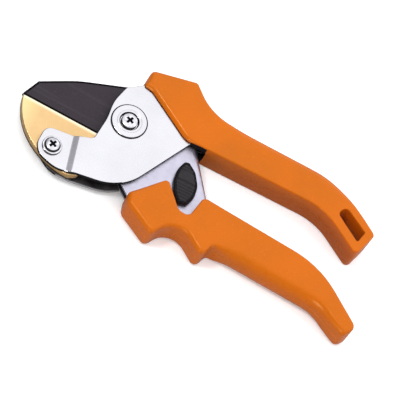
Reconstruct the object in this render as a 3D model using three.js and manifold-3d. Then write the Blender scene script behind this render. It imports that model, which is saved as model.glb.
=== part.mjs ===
// Anvil pruner: a coated blade on the lower lever closes onto a brass anvil, which is
// held between the two frame plates.
//
// Millimetres. The origin is on the pivot axis, in the plane of the handles' back faces.
// +X runs from the nose to the handle tails, along the cutting edge; +Y points from the
// anvil to the blade's spine; +Z comes out of the front face. The pruner is modelled closed.

import * as THREE from 'three';
import { mergeVertices } from 'three/addons/utils/BufferGeometryUtils.js';
import Module from 'manifold-3d';

const wasm = await Module();
wasm.setup();

// ---------------------------------------------------------------- driving dimensions

const GRIP_THICKNESS = 18;
const MIDDLE = GRIP_THICKNESS / 2;
const FIT = 0.3;                   // gap round a piece that sits in a moulded pocket
const RUNNING = 0.1;               // gap between flat faces that slide on each other
const ARC_STEP = 12;               // degrees between points on a corner arc

const PLATE = 2;                   // frame plates
const PLATE_INNER = 3.9;           // from the middle plane to a plate's inner face
const NOSE_INNER = 2.5;            // the same at the nose, where the plates clamp the anvil
const JOGGLE_START = -26.1;          // where the plates begin to step outwards
const JOGGLE_END = -23.1;
const JOGGLE_TURN = 13.4;          // degrees the step leans from the Y axis

const BLADE = 3.2;                 // blade thickness
const EDGE_Y = -12.8;              // the cutting edge lies along this line
const EDGE_BEVEL = 1.2;
const EDGE_LAND = 0.5;             // thickness left at the cutting edge

const CHANNEL_WALL = 1.5;          // pressed steel of the lever's channel
const CHANNEL_INNER = BLADE / 2 + RUNNING;
const CHANNEL_OUTER = CHANNEL_INNER + CHANNEL_WALL;

const ANVIL_SCREW = [-28.8, -33];
const SPRING_POST = [17, 24.5];
const FRAME_SPACERS = [[37, 15.5], [61, 15.8]];
const BLADE_RIVETS = [[20, 2], [17, -10]];

const BUSH_RADIUS = 5;
const PIVOT_SCREW_RADIUS = 2.5;
const PIVOT_DISC_RADIUS = 9.8;
const PIVOT_NUT_HEIGHT = 2.6;

const CATCH_CENTRE = [39.4, -16.4];
const CATCH_TURN = 17.8;           // degrees from the Y axis to the thumb catch's long axis
const CATCH_LENGTH = 24.2;
const CATCH_WIDTH = 12.8;

const COLOURS = {
  orange: 0xe37418, plate: 0xf2f1f6, channel: 0xcfccd8, blade: 0x443f46,
  brass: 0xf5d38f, steel: 0xb9b8bd, black: 0x2a262a, spring: 0x8c8c90,
};

// ---------------------------------------------------------------- outlines

// A corner is [x, y, radius]. An outline runs anticlockwise.

const UPPER_GRIP = [
  [-2.4, 22.6, 2.2], [3.4, 21.7, 4], [30, 5.5, 14], [109.8, 7.8, 34], [134.3, -7.5, 2.8],
  [139.2, 8.3, 2.8], [111.2, 27.2, 48], [35.4, 26.5, 26], [22.2, 38.7, 2.8], [-1.8, 32.3, 3.2],
];

const LANYARD_SLOT = [
  [116.9, 9.4, 2.6], [132.2, -0.4, 0.8], [133.9, 6.7, 0.8], [119.6, 15.2, 2.8],
];

const LOWER_GRIP = [
  [16.4, -36.9, 2.2], [18, -43, 4.5], [35.9, -52.8, 3], [44.8, -37.2, 10.5],
  [63.6, -50.4, 3], [66.6, -41.3, 2.6], [127.2, -43, 26], [146, -52, 3],
  [150.3, -44.8, 3.8], [120.3, -22.9, 51], [51.6, -19.7, 2.8], [49.1, -33.5, 3.2],
  [42.9, -33.1, 4.5], [31.4, -20.2, 2.2],
];

// A frame plate: the lower edge, a tail that runs inside the upper grip, the cheek's open
// edge and, last, the nose. The back plate's nose is cut closer round the anvil screw.
const FRAME_PLATE = [
  [-22.5, -43.3, 15], [12.3, -36.5, 27], [34.2, 7.8, 1.5], [44, 10.5, 4], [70, 11, 2],
  [70, 20.5, 2], [42, 20.5, 6], [21, 32, 3], [3, 28.5, 3], [-2.6, 22.8, 1], [-9.4, 17.2, 3],
  [-12, 6.5, 25], [-10.8, -4, 30], [-11.9, -18.3, 3], [-20.5, -21.8, 15],
];
const FRONT_NOSE = [[-36.2, -24.1, 5], [-36.4, -39.5, 9]];
const BACK_NOSE = [[-33.9, -24.5, 5], [-33.6, -37, 9]];

const BLADE_OUTLINE = [
  [-54.9, EDGE_Y, 0.3], [-8, EDGE_Y, 3], [8, -18, 8], [24, -15, 4], [28, -1, 4],
  [24, 9, 5], [10, 17, 6], [-4, 22.4, 10], [-33, 9.6, 60], [-50.6, -1.7, 1],
];

const CHANNEL_OUTLINE = [
  [11.4, -32.8, 0.8], [20, -39.5, 5], [32, -39.5, 8], [56, -37.5, 12], [104, -37.5, 4],
  [104, -26, 4], [60, -25.5, 6], [55, -18.6, 3], [36.9, 7.2, 2.2], [8, 14, 9],
  [-9, 12, 8], [-9, -8, 8],
];
// The right-hand edge of the channel is its folded spine, so the hollow stops short of it.
const CHANNEL_HOLLOW = [
  [-20, -50, 1], [102.5, -50, 1], [102.5, -27.5, 1], [59, -27, 4], [53.4, -19.2, 3],
  [35.6, 5.2, 1.5], [28, 7.2, 1], [26, 30, 1], [-20, 30, 1],
];

// Seen along the thumb catch's own axes.
const CATCH_LEAF = [
  [-2.2, -CATCH_LENGTH / 2, 2], [2.6, -CATCH_LENGTH / 2, 2], [6.2, -7, 8], [7.4, -0.5, 9],
  [5.4, 7.2, 8], [1.6, CATCH_LENGTH / 2, 1.6], [-1, CATCH_LENGTH / 2, 1.6], [-4.2, 7.4, 8],
  [-5.7, 0.8, 9], [-5, -6.6, 8],
];
const CATCH_BAR = [
  [-3.5, -9.5, 1.5], [3.5, -9.5, 1.5], [2.4, 19, 1], [-2.4, 19, 1],
];

// ---------------------------------------------------------------- shape helpers

function point(x, y) {
  return new THREE.Vector2(x, y);
}

// Rounds every corner of an outline with its own radius, as a list of points.
function roundCorners(corners) {
  const points = [];
  corners.forEach(([x, y, radius], i) => {
    const before = corners[(i + corners.length - 1) % corners.length];
    const after = corners[(i + 1) % corners.length];
    const corner = point(x, y);
    const back = point(before[0], before[1]).sub(corner).normalize();
    const ahead = point(after[0], after[1]).sub(corner).normalize();
    const turn = Math.PI - Math.acos(THREE.MathUtils.clamp(back.dot(ahead), -1, 1));
    const reach = radius * Math.tan(turn / 2);
    const start = corner.clone().addScaledVector(back, reach);
    const inward = back.clone().add(ahead).normalize();
    const centre = corner.clone().addScaledVector(inward, radius / Math.cos(turn / 2));
    const side = Math.sign(back.cross(ahead)) || 1;
    const from = start.clone().sub(centre).angle();
    const steps = Math.max(1, Math.ceil(THREE.MathUtils.radToDeg(turn) / ARC_STEP));
    for (let k = 0; k <= steps; k += 1) {
      const angle = from - side * turn * (k / steps);
      points.push(point(Math.cos(angle), Math.sin(angle)).multiplyScalar(radius).add(centre));
    }
  });
  return points;
}

// A flat plate of an outline between two heights.
function slab(points, low, high) {
  const shape = new THREE.Shape(points);
  const geometry = new THREE.ExtrudeGeometry(shape, { depth: high - low, bevelEnabled: false });
  return geometry.translate(0, 0, low);
}

function cornerSlab(corners, low, high) {
  return slab(roundCorners(corners), low, high);
}

// A solid of revolution about Z from [radius, height] points, anticlockwise.
function turned(profile, segments = 32) {
  const points = profile.map(([r, z]) => point(r, z));
  return new THREE.LatheGeometry(points, segments).rotateX(Math.PI / 2);
}

function disc(radius, low, high, segments = 32) {
  return turned([[0, low], [radius, low], [radius, high], [0, high]], segments);
}

function ring(inner, outer, low, high) {
  return turned([[inner, low], [outer, low], [outer, high], [inner, high], [inner, low]]);
}

function at([x, y], geometry) {
  return geometry.translate(x, y, 0);
}

// The outward normal of an outline at each of its points.
function outwardNormals(points) {
  return points.map((here, i) => {
    const before = points[(i + points.length - 1) % points.length];
    const after = points[(i + 1) % points.length];
    const along = after.clone().sub(before).normalize();
    return point(along.y, -along.x);
  });
}

// A thick slab whose front and back edges are rounded. edgeRadius(point, normal) gives the
// radius of the round at each point of the outline, so one side can be softer than another.
function softSlab(corners, low, high, edgeRadius, layers = 4) {
  const points = roundCorners(corners);
  const normals = outwardNormals(points);
  const radii = points.map((p, i) => edgeRadius(p, normals[i]));
  const largest = Math.max(...radii);
  const depths = [];
  for (let k = 0; k <= layers; k += 1) {
    depths.push(largest * (1 - Math.cos((Math.PI / 2) * (k / layers))));
  }
  const levels = [
    ...depths.map((depth) => ({ z: low + depth, depth })),
    ...depths.reverse().map((depth) => ({ z: high - depth, depth })),
  ];
  const outline = (depth) => points.map((p, i) => {
    const left = Math.max(radii[i] - depth, 0);
    const inset = radii[i] - Math.sqrt(radii[i] ** 2 - left ** 2);
    return p.clone().addScaledVector(normals[i], -inset);
  });
  const rings = levels.map(({ z, depth }) => outline(depth).map((p) => [p.x, p.y, z]));
  const count = points.length;
  const index = [];
  for (let k = 0; k + 1 < rings.length; k += 1) {
    for (let i = 0; i < count; i += 1) {
      const next = (i + 1) % count;
      const a = k * count + i;
      const b = k * count + next;
      index.push(a, b, b + count, a, b + count, a + count);
    }
  }
  const cap = THREE.ShapeUtils.triangulateShape(outline(0), []);
  const top = (rings.length - 1) * count;
  cap.forEach(([a, b, c]) => {
    index.push(a, c, b);
    index.push(top + a, top + b, top + c);
  });
  const geometry = new THREE.BufferGeometry();
  geometry.setAttribute('position', new THREE.Float32BufferAttribute(rings.flat(2), 3));
  geometry.setIndex(index);
  return geometry;
}

// ---------------------------------------------------------------- cutting and joining

function toSolid(geometry) {
  const bare = geometry.clone();
  bare.deleteAttribute('normal');
  bare.deleteAttribute('uv');
  const merged = mergeVertices(bare, 1e-4);
  const triangles = [];
  for (let i = 0; i < merged.index.count; i += 3) {
    const [a, b, c] = [0, 1, 2].map((k) => merged.index.getX(i + k));
    if (a !== b && b !== c && c !== a) triangles.push(a, b, c);
  }
  const vertProperties = new Float32Array(merged.attributes.position.array);
  const triVerts = new Uint32Array(triangles);
  return new wasm.Manifold(new wasm.Mesh({ numProp: 3, vertProperties, triVerts }));
}

function toGeometry(solid) {
  const { vertProperties, triVerts } = solid.getMesh();
  const geometry = new THREE.BufferGeometry();
  geometry.setAttribute('position', new THREE.BufferAttribute(vertProperties, 3));
  geometry.setIndex(new THREE.BufferAttribute(triVerts, 1));
  return geometry;
}

function cut(geometry, ...tools) {
  const start = toSolid(geometry);
  return toGeometry(tools.reduce((solid, tool) => solid.subtract(toSolid(tool)), start));
}

function join(geometry, ...others) {
  const start = toSolid(geometry);
  return toGeometry(others.reduce((solid, other) => solid.add(toSolid(other)), start));
}

function common(geometry, other) {
  return toGeometry(toSolid(geometry).intersect(toSolid(other)));
}

// ---------------------------------------------------------------- frame

// A slab seen from the side, stepped at the joggle: the nose lies nearer the middle plane.
function joggledSheet() {
  const inner = [
    [-70, NOSE_INNER], [JOGGLE_START, NOSE_INNER], [JOGGLE_END, PLATE_INNER], [90, PLATE_INNER],
  ];
  const outer = inner.map(([x, z]) => [x, z + PLATE]).reverse();
  const section = [...inner, ...outer].map(([x, z]) => point(x, z));
  const shape = new THREE.Shape(section);
  const geometry = new THREE.ExtrudeGeometry(shape, { depth: 90, bevelEnabled: false });
  return geometry.rotateX(Math.PI / 2).translate(0, 40, 0)
    .rotateZ(THREE.MathUtils.degToRad(JOGGLE_TURN));
}

// A plate in front of the middle plane, which is at height 0 here.
function framePlate(nose) {
  const sheet = common(cornerSlab([...FRAME_PLATE, ...nose], 1, 9), joggledSheet());
  const holes = [
    disc(BUSH_RADIUS + 1, 1, 9),
    at(ANVIL_SCREW, disc(2.1, 1, 9, 16)),
    at(SPRING_POST, disc(1.9, 1, 9, 16)),
    ...FRAME_SPACERS.map((place) => at(place, disc(1.9, 1, 9, 16))),
  ];
  return cut(sheet, ...holes);
}

function frontFramePlate() {
  return framePlate(FRONT_NOSE).translate(0, 0, MIDDLE);
}

// The back plate is stepped the other way, so it is a mirror image of a front one.
function backFramePlate() {
  const geometry = framePlate(BACK_NOSE).scale(1, 1, -1).translate(0, 0, MIDDLE);
  const index = geometry.index.array;
  for (let i = 0; i < index.length; i += 3) {
    [index[i], index[i + 1]] = [index[i + 1], index[i]];
  }
  return geometry;
}

// Flat along the cutting edge, an elliptical sweep round the nose, and a tail between the plates.
function anvil() {
  const face = EDGE_Y - 0.2;
  const [cx, cy, width, height] = [-14.5, -7, 40.2, 35.4];
  const start = Math.PI + Math.asin((cy - face) / height);
  const shape = new THREE.Shape();
  shape.moveTo(-9.5, face);
  shape.lineTo(cx - width * Math.cos(start - Math.PI), face);
  shape.absellipse(cx, cy, width, height, start, 1.5 * Math.PI, false);
  shape.lineTo(-10.5, -40);
  shape.lineTo(-9.5, -36);
  shape.closePath();
  const options = {
    depth: 2 * NOSE_INNER - 0.8, curveSegments: 20,
    bevelEnabled: true, bevelThickness: 0.4, bevelSize: 0.4, bevelOffset: -0.4, bevelSegments: 2,
  };
  const block = new THREE.ExtrudeGeometry(shape, options);
  block.translate(0, 0, MIDDLE - NOSE_INNER + options.bevelThickness);
  return cut(block, at(ANVIL_SCREW, disc(2.1, 0, GRIP_THICKNESS, 16)));
}

// ---------------------------------------------------------------- fasteners

function crossRecess(reach, width, low, high) {
  const bar = new THREE.BoxGeometry(2 * reach, width, high - low).translate(0, 0, (low + high) / 2);
  return join(bar, bar.clone().rotateZ(Math.PI / 2)).rotateZ(THREE.MathUtils.degToRad(65));
}

function hexNut(acrossFlats, low, high) {
  const corner = acrossFlats / 2 / Math.cos(Math.PI / 6);
  return turned([[0, low], [corner, low], [corner, high], [0, high]], 6);
}

function anvilScrew() {
  const seat = MIDDLE + NOSE_INNER + PLATE;
  const tail = MIDDLE - NOSE_INNER - PLATE - 2;
  const body = turned([
    [0, tail], [2, tail], [2, seat + 0.05], [5.2, seat + 0.05], [5.2, seat + 1],
    [4.8, seat + 1.9], [3.8, seat + 2.5], [0, seat + 2.8],
  ]);
  return at(ANVIL_SCREW, cut(body, crossRecess(2.8, 1.4, seat + 1.1, seat + 4)));
}

function anvilNut() {
  const top = MIDDLE - NOSE_INNER - PLATE - 0.05;
  return at(ANVIL_SCREW, cut(hexNut(7, top - 2.4, top), disc(2.1, top - 4, top + 1, 16)));
}

// A dished disc with a boss through the front plate. The screw's head lies in the dish.
function pivotDisc() {
  const face = MIDDLE + PLATE_INNER + PLATE;
  const bottom = face - PLATE + 0.05;
  return turned([
    [2.7, bottom], [BUSH_RADIUS + 0.9, bottom], [BUSH_RADIUS + 0.9, face + 0.05],
    [PIVOT_DISC_RADIUS, face + 0.05], [PIVOT_DISC_RADIUS, face + 0.55],
    [PIVOT_DISC_RADIUS - 0.3, face + 0.8], [5.8, face + 0.8], [5, face - 0.9],
    [2.7, face - 0.9], [2.7, bottom],
  ]);
}

function pivotScrew() {
  const dish = MIDDLE + PLATE_INNER + PLATE - 0.85;
  const tail = 0.8;
  const body = turned([
    [0, tail], [PIVOT_SCREW_RADIUS, tail], [PIVOT_SCREW_RADIUS, dish], [4.3, dish],
    [4.3, dish + 2], [3.7, dish + 2.6], [0, dish + 2.9],
  ]);
  return cut(body, crossRecess(2.8, 1.4, dish + 1.5, dish + 4));
}

function pivotNut() {
  return cut(hexNut(11, 0, PIVOT_NUT_HEIGHT), disc(PIVOT_SCREW_RADIUS + 0.05, 0.7, 5));
}

// Tubular spacer between the frame plates, with a tenon through each of them.
function frameSpacer(place, radius) {
  const plateFace = PLATE_INNER + PLATE;
  return at(place, turned([
    [0, MIDDLE - plateFace], [1.8, MIDDLE - plateFace], [1.8, MIDDLE - PLATE_INNER + 0.05],
    [radius, MIDDLE - PLATE_INNER + 0.05], [radius, MIDDLE + PLATE_INNER - 0.05],
    [1.8, MIDDLE + PLATE_INNER - 0.05], [1.8, MIDDLE + plateFace], [0, MIDDLE + plateFace],
  ], 16));
}

function bladeRivet(place) {
  const wall = CHANNEL_OUTER + 0.05;
  return at(place, turned([
    [0, MIDDLE - wall - 0.3], [3.2, MIDDLE - wall - 0.3], [3.2, MIDDLE - wall], [2, MIDDLE - wall],
    [2, MIDDLE + wall], [3.2, MIDDLE + wall], [3.2, MIDDLE + wall + 0.3], [0, MIDDLE + wall + 0.3],
  ], 16));
}

// ---------------------------------------------------------------- opening spring

// A torsion spring on its post. The upper leg bears on the first spacer; the lower leg
// comes back to the middle plane and presses on the channel's corner.
function openingSpring() {
  const [cx, cy] = SPRING_POST;
  const radius = 4;
  const startAngle = 38.7;
  const endAngle = 987.3;
  const startHeight = 6.9;
  const pitch = 1.7;
  const path = [new THREE.Vector3(34.5, 9, MIDDLE), new THREE.Vector3(27.3, 18, 7.9)];
  const coilSteps = 40;
  for (let k = 0; k <= coilSteps; k += 1) {
    const angle = startAngle + (endAngle - startAngle) * (k / coilSteps);
    const turn = THREE.MathUtils.degToRad(angle);
    const height = startHeight + pitch * (angle - startAngle) / 360;
    path.push(new THREE.Vector3(cx + radius * Math.cos(turn), cy + radius * Math.sin(turn), height));
  }
  path.push(new THREE.Vector3(26.4, 20.1, 11.4), new THREE.Vector3(36, 19.6, 11.4));
  const wire = new THREE.Shape();
  wire.absarc(0, 0, 0.8, 0, 2 * Math.PI, false);
  return new THREE.ExtrudeGeometry(wire, {
    extrudePath: new THREE.CatmullRomCurve3(path), steps: 56, curveSegments: 4, bevelEnabled: false,
  });
}

// ---------------------------------------------------------------- lever

// The blade's section is flat but for a narrow bevel on both sides of the cutting edge.
function blade() {
  const half = BLADE / 2;
  const land = EDGE_LAND / 2;
  const section = [
    point(EDGE_Y, -land), point(EDGE_Y + EDGE_BEVEL, -half), point(30, -half),
    point(30, half), point(EDGE_Y + EDGE_BEVEL, half), point(EDGE_Y, land),
  ];
  const shape = new THREE.Shape(section);
  const ground = new THREE.ExtrudeGeometry(shape, { depth: 47, bevelEnabled: false });
  const toPart = new THREE.Matrix4().set(0, 0, 1, -56, 1, 0, 0, 0, 0, 1, 0, MIDDLE, 0, 0, 0, 1);
  ground.applyMatrix4(toPart);
  const body = cornerSlab(BLADE_OUTLINE, MIDDLE - half, MIDDLE + half);
  const hub = new THREE.BoxGeometry(50, 60, 2 * BLADE).translate(15.8, 0, MIDDLE);
  const holes = [
    disc(BUSH_RADIUS + RUNNING, 0, GRIP_THICKNESS),
    ...BLADE_RIVETS.map((place) => at(place, disc(2.1, 0, GRIP_THICKNESS, 16))),
  ];
  return cut(common(body, join(ground, hub)), ...holes);
}

// A sheet folded into a channel: two cheeks and the spine along the right-hand edge.
function channel() {
  const body = cornerSlab(CHANNEL_OUTLINE, MIDDLE - CHANNEL_OUTER, MIDDLE + CHANNEL_OUTER);
  const hollow = cornerSlab(CHANNEL_HOLLOW, MIDDLE - CHANNEL_INNER, MIDDLE + CHANNEL_INNER);
  const [cx, cy] = CATCH_CENTRE;
  const slot = new THREE.BoxGeometry(4, 10, 6);
  slot.rotateZ(THREE.MathUtils.degToRad(CATCH_TURN)).translate(cx, cy, MIDDLE + CHANNEL_OUTER);
  const holes = [
    disc(BUSH_RADIUS + RUNNING, 0, GRIP_THICKNESS),
    ...BLADE_RIVETS.map((place) => at(place, disc(2.1, 0, GRIP_THICKNESS, 16))),
  ];
  return cut(body, hollow, slot, ...holes);
}

// ---------------------------------------------------------------- grips

function smooth(low, high, value) {
  return THREE.MathUtils.smoothstep(value, low, high);
}

// The palm side is soft along the handle and firmer at the head and the tail.
function upperEdge(p, normal) {
  const palm = Math.max(normal.y, 0);
  const along = smooth(44, 58, p.x) * (1 - smooth(116, 130, p.x));
  return 1.1 + 0.8 * palm + 2.4 * palm * along;
}

// The finger side is softest along the handle; the finger stop's corners stay tighter.
function lowerEdge(p, normal) {
  const fingers = Math.max(-normal.y, 0);
  const along = smooth(66, 78, p.x) * (1 - smooth(118, 134, p.x));
  return 1.1 + 1.5 * fingers + 3.6 * fingers * along;
}

function grow(corners, gap) {
  const points = roundCorners(corners);
  const normals = outwardNormals(points);
  return points.map((p, i) => p.clone().addScaledVector(normals[i], gap));
}

function upperGrip() {
  const body = softSlab(UPPER_GRIP, 0, GRIP_THICKNESS, upperEdge);
  const reach = PLATE_INNER + PLATE + FIT;
  const plates = grow([...FRAME_PLATE, ...FRONT_NOSE], FIT);
  const platePocket = slab(plates, MIDDLE - reach, MIDDLE + reach);
  const cornerPocket = new THREE.BoxGeometry(14, 10, 2 * PLATE_INNER).translate(35.4, 6, MIDDLE);
  const slot = cornerSlab(LANYARD_SLOT, -1, GRIP_THICKNESS + 1);
  return cut(body, platePocket, cornerPocket, slot);
}

function lowerGrip() {
  const body = softSlab(LOWER_GRIP, 0, GRIP_THICKNESS, lowerEdge);
  const reach = CHANNEL_OUTER + FIT;
  const pocket = slab(grow(CHANNEL_OUTLINE, FIT), MIDDLE - reach, MIDDLE + reach);
  return cut(body, pocket);
}

// ---------------------------------------------------------------- catch

function catchPlace(geometry) {
  const [cx, cy] = CATCH_CENTRE;
  return geometry.rotateZ(THREE.MathUtils.degToRad(CATCH_TURN)).translate(cx, cy, 0);
}

// A leaf-shaped button with ribs across it, on a stem through the channel's slot.
function thumbCatch() {
  const base = MIDDLE + CHANNEL_OUTER + 0.15;
  const top = base + 3.3;
  const button = softSlab(CATCH_LEAF, base, top, () => 0.8, 2);
  const grooves = [];
  for (let y = -8; y <= 8; y += 2) {
    const groove = new THREE.BoxGeometry(CATCH_WIDTH + 4, 0.8, 1);
    grooves.push(groove.rotateZ(THREE.MathUtils.degToRad(-16)).translate(0, y, top));
  }
  const stemLow = MIDDLE + CHANNEL_INNER - 0.25;
  const stem = new THREE.BoxGeometry(3.4, 5.4, base + 0.5 - stemLow);
  stem.translate(0, 0, (base + 0.5 + stemLow) / 2);
  const hole = disc(1.3, 0, base + 1.5, 16);
  return catchPlace(cut(join(button, stem), hole, ...grooves));
}

function catchBar() {
  const body = cornerSlab(CATCH_BAR, MIDDLE - 1.3, MIDDLE + 1.3);
  return catchPlace(cut(body, disc(1.3, 0, GRIP_THICKNESS, 16)));
}

function catchRivet() {
  return at(CATCH_CENTRE, disc(1.2, MIDDLE - 1.5, MIDDLE + 4.6, 16));
}

// ---------------------------------------------------------------- assembly

function material(colour, roughness, metalness) {
  return new THREE.MeshStandardMaterial({ color: colour, roughness, metalness });
}

const pruner = new THREE.Group();

function add(name, geometry, colour, roughness, metalness) {
  const mesh = new THREE.Mesh(geometry, material(colour, roughness, metalness));
  mesh.name = name;
  pruner.add(mesh);
}

const steel = [COLOURS.steel, 0.3, 1];
const shimLow = PLATE_INNER - RUNNING - 0.5;
const shimHigh = PLATE_INNER - RUNNING;
const backFace = MIDDLE - PLATE_INNER - PLATE;

add('front_frame_plate', frontFramePlate(), COLOURS.plate, 0.3, 0.7);
add('back_frame_plate', backFramePlate(), COLOURS.plate, 0.3, 0.7);
add('anvil', anvil(), COLOURS.brass, 0.35, 0.9);
add('anvil_screw', anvilScrew(), ...steel);
add('anvil_nut', anvilNut(), ...steel);
add('pivot_disc', pivotDisc(), COLOURS.plate, 0.3, 0.7);
add('pivot_screw', pivotScrew(), ...steel);
add('pivot_bush', ring(2.6, BUSH_RADIUS, MIDDLE - shimHigh, MIDDLE + shimHigh), ...steel);
add('pivot_shim_front', ring(5.1, 8, MIDDLE + shimLow, MIDDLE + shimHigh), ...steel);
add('pivot_shim_back', ring(5.1, 8, MIDDLE - shimHigh, MIDDLE - shimLow), ...steel);
add('pivot_washer_back', ring(2.6, 7.5, PIVOT_NUT_HEIGHT, backFace), ...steel);
add('pivot_nut', pivotNut(), ...steel);
FRAME_SPACERS.forEach((place, i) => add(`frame_spacer_${i + 1}`, frameSpacer(place, 3), ...steel));
add('spring_post', frameSpacer(SPRING_POST, 2.7), ...steel);
add('opening_spring', openingSpring(), COLOURS.spring, 0.35, 1);
add('upper_grip', upperGrip(), COLOURS.orange, 0.4, 0);

add('blade', blade(), COLOURS.blade, 0.4, 0.4);
add('lever_channel', channel(), COLOURS.channel, 0.3, 0.8);
BLADE_RIVETS.forEach((place, i) => add(`blade_rivet_${i + 1}`, bladeRivet(place), ...steel));
add('lower_grip', lowerGrip(), COLOURS.orange, 0.4, 0);

add('thumb_catch', thumbCatch(), COLOURS.black, 0.45, 0);
add('catch_bar', catchBar(), ...steel);
add('catch_rivet', catchRivet(), ...steel);

export default pruner;
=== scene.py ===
"""An anvil pruner: the looks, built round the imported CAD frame.

The pruner lies on its back, closed. +X runs from the nose to the handle tails, +Y from the
anvil to the blade's spine, and +Z comes out of the front face. Shapes are worked out in
millimetres, and mesh_object() turns them into metres.
"""

import math

import bpy
import numpy as np
from mathutils import Matrix, Vector
from mathutils.geometry import delaunay_2d_cdt


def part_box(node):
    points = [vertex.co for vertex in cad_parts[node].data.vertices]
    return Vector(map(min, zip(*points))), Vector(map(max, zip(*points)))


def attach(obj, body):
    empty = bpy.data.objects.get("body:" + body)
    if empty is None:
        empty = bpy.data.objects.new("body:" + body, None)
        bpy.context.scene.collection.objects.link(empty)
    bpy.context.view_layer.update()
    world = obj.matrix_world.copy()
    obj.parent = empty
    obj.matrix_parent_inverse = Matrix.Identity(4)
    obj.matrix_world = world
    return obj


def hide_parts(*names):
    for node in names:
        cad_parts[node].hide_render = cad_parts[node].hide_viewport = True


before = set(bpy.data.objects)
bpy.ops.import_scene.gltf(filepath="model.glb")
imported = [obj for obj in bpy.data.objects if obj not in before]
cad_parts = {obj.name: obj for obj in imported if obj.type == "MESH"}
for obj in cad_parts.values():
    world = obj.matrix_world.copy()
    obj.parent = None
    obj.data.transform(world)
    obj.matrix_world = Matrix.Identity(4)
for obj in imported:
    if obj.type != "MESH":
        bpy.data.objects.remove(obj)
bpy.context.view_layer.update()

MM = 0.001

# -------------------- sizes, from the frame


def heights(node):
    """The lowest and highest z of a CAD node, in millimetres."""
    low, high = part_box(node)
    return low.z / MM, high.z / MM


GRIP_BACK, GRIP_FRONT = heights("upper_grip")
MIDDLE = (GRIP_BACK + GRIP_FRONT) / 2
PLATE_FACE = heights("front_frame_plate")[1]
BLADE_BACK, BLADE_FRONT = heights("blade")
CHANNEL_BACK, CHANNEL_FRONT = heights("lever_channel")
ANVIL_BACK, ANVIL_FRONT = heights("anvil")
CATCH_FOOT, CATCH_TOP = heights("thumb_catch")
ANVIL_SCREW_TOP = heights("anvil_screw")[1]
PIVOT_SCREW_BOTTOM, PIVOT_SCREW_TOP = heights("pivot_screw")
PIVOT_NUT = heights("pivot_nut")
ANVIL_NUT = heights("anvil_nut")
WASHER = heights("pivot_washer_back")

# -------------------- sizes, in millimetres

PLATE = 2.0                      # sheet of the frame plates
PLATE_STEP = 1.4                 # the nose is this much nearer the middle plane
JOGGLE_START = -26.1             # the step's two bends, measured across them
JOGGLE_END = -23.1
JOGGLE_TURN = math.radians(13.4)
CHANNEL_WALL = 1.5
EDGE_Y = -12.8                   # the cutting edge
EDGE_BEVEL = 1.2
EDGE_LAND = 0.5                  # thickness left at the cutting edge
SHADED_EDGE_BAND = 1.2                  # the blade's coating is painted blackest, as painted shade, in a band this wide along its outline
FIT = 0.3                        # gap between a grip and the metal in it
LIP_GAP = 0.75                   # gap that shows between a grip's lip and the metal
SEAM = 0.09                      # how far a grip's moulding line stands out
LEVER_ROOM = 3.9                 # half the height of the lever's room in the upper grip
LEVER_CORNER_X = (28.4, 42.4)    # where that room is
LEVER_CORNER_Y = (1.0, 11.0)

ANVIL_SCREW = (-28.8, -33.0)
ANVIL_SCREW_BORE = 2.1           # the bores are radii
PIVOT = (0.0, 0.0)
PIVOT_BORE = 6.0
BUSH_BORE = 5.1
PIVOT_DISC_RADIUS = 9.8
CROSS_REACH = 2.9                # from a screw's axis to the end of its cross
CROSS_WIDTH = 1.5
CROSS_TURN = math.radians(66)
CATCH_CENTRE = (39.4, -16.4)
CATCH_TURN = math.radians(17.8)
CATCH_LENGTH = 24.2
BLADE_RIVETS = ((20.0, 2.0), (17.0, -10.0))
RIVET_BORE = 2.1

ARC_STEP = math.radians(5)       # how finely a rounded corner is drawn
SHARP_ANGLE = math.radians(32)   # a surface that turns by more has a hard edge
TURNED_SIDES = 96

# -------------------- the view, in metres

VIEW_TILT = math.radians(29.5)   # the view leans this far from straight down
VIEW_TURN = math.radians(5.2)    # and comes from this far left of the -Y direction
VIEW_ROLL = math.radians(32.8)   # the camera is rolled, so the handles fall to the right
VIEW_WIDTH = 0.2046              # how much the picture spans at the pruner
VIEW_CENTRE = Vector((0.0508, -0.0173, 0.0086))
LENS = 250.0
SENSOR = 36.0
FLOOR_REACH = 3.0                # from the pruner's pivot to each side of the floor

# -------------------- outlines

# A corner is (x, y, radius). An outline runs anticlockwise.

UPPER_GRIP = [
    (-2.4, 22.6, 2.2), (3.4, 21.7, 4), (30, 5.5, 14), (109.8, 7.8, 34), (134.3, -7.5, 2.8),
    (139.2, 8.3, 2.8), (111.2, 27.2, 48), (35.4, 26.5, 26), (22.2, 38.7, 2.8), (-1.8, 32.3, 3.2),
]
LANYARD_SLOT = [
    (116.9, 9.4, 2.6), (132.2, -0.4, 0.8), (133.9, 6.7, 0.8), (119.6, 15.2, 2.8),
]
LOWER_GRIP = [
    (16.4, -36.9, 2.2), (18, -43, 4.5), (35.9, -52.8, 3), (44.8, -37.2, 10.5),
    (63.6, -50.4, 3), (66.6, -41.3, 2.6), (127.2, -43, 26), (146, -52, 3),
    (150.3, -44.8, 3.8), (120.3, -22.9, 51), (51.6, -19.7, 2.8), (49.1, -33.5, 3.2),
    (42.9, -33.1, 4.5), (31.4, -20.2, 2.2),
]
FRAME_PLATE = [
    (-22.5, -43.3, 15), (12.3, -36.5, 27), (34.2, 7.8, 1.5), (44, 10.5, 4), (70, 11, 2),
    (70, 20.5, 2), (42, 20.5, 6), (21, 32, 3), (3, 28.5, 3), (-2.6, 22.8, 1), (-9.4, 17.2, 3),
    (-12, 6.5, 25), (-10.8, -4, 30), (-11.9, -18.3, 3), (-20.5, -21.8, 15),
]
FRONT_NOSE = [(-36.2, -24.1, 5), (-36.4, -39.5, 9)]
BACK_NOSE = [(-33.9, -24.5, 5), (-33.6, -37, 9)]
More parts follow.
